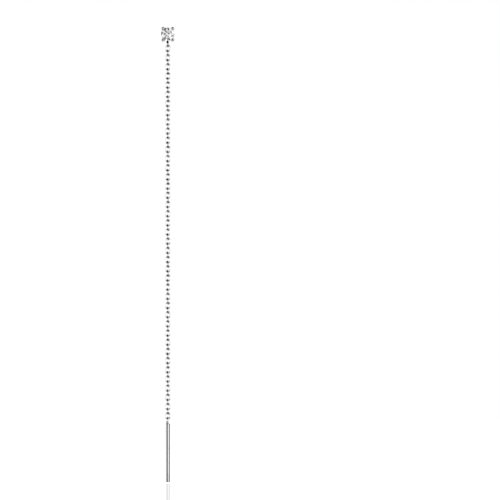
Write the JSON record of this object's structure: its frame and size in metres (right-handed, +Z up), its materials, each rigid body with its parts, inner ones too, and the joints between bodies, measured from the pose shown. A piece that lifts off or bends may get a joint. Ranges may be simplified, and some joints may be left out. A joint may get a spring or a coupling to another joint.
{
  "type": "threader earring",
  "caption": "Threader earring: a round clear stone in a prong setting, a fine cable chain of oval links and a straight round bar that is drawn through the piercing.",
  "frame": {"origin": "middle of the flat back of the setting, on the stone's axis, where it sits against the ear at the piercing", "axes": "+Z up, against the way the chain hangs; +Y towards the ear; the stone's table faces -Y"},
  "size_m": [0.003, 0.0021, 0.1001],
  "materials": {
    "clear_stone": "clear cubic zirconia, polished facets",
    "cast_silver": "cast silver, polished bright",
    "link_silver": "drawn silver wire, polished bright",
    "bar_silver": "drawn silver rod, polished bright with faint lengthwise drawing lines"
  },
  "bodies": {
    "hanger": {"stone": "clear_stone", "setting": "cast_silver", "chain": "link_silver"},
    "threader": {"bar": "bar_silver"}
  },
  "joints": [
    {"name": "bar_swing", "type": "hinge", "parent": "hanger", "child": "threader", "pos_m": [0, -0.0006, -0.08464], "axis": [1, 0, 0], "range_deg": [-120, 120]}
  ]
}
